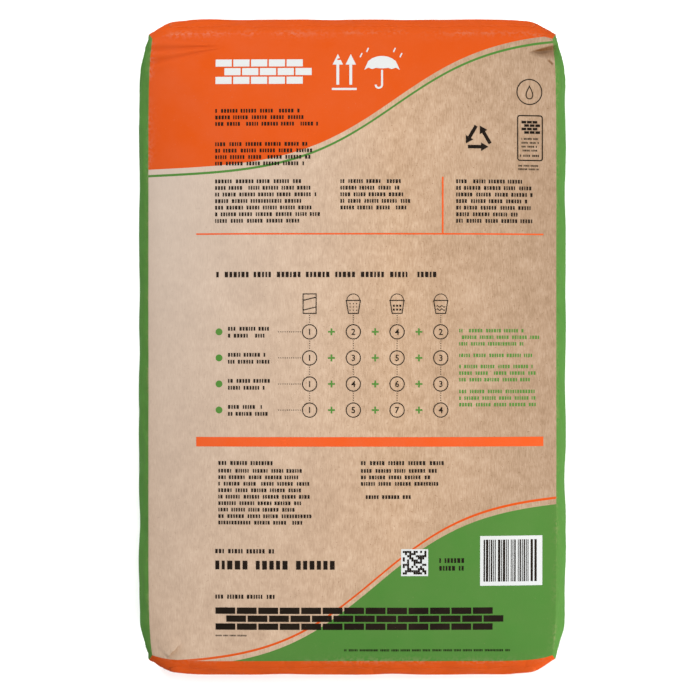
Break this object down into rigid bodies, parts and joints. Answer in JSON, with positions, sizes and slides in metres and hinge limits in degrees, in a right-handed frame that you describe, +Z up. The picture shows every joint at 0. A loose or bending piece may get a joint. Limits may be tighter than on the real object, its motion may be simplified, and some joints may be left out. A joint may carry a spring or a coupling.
{
  "type": "cement bag",
  "caption": "Filled pasted paper valve sack of cement, lying flat, with square folded ends and a valve in one corner.",
  "frame": {"origin": "on the floor, under the middle of the sack's overall box", "axes": "+X across the sack towards its valve side, +Y along the sack towards its top end, +Z up out of its back face"},
  "size_m": [0.403, 0.62, 0.125],
  "materials": {
    "kraft_paper": "matte uncoated kraft paper with flexographic print",
    "printed_patch_paper": "matte uncoated kraft paper printed orange all over",
    "valve_paper": "matte unprinted kraft paper",
    "cement_powder": "dull fine grey powder"
  },
  "bodies": {
    "root": {"paper_sack": "kraft_paper", "cement_fill": "cement_powder", "top_end_patch": "printed_patch_paper", "bottom_end_patch": "printed_patch_paper", "valve_sleeve": "valve_paper"}
  },
  "joints": []
}
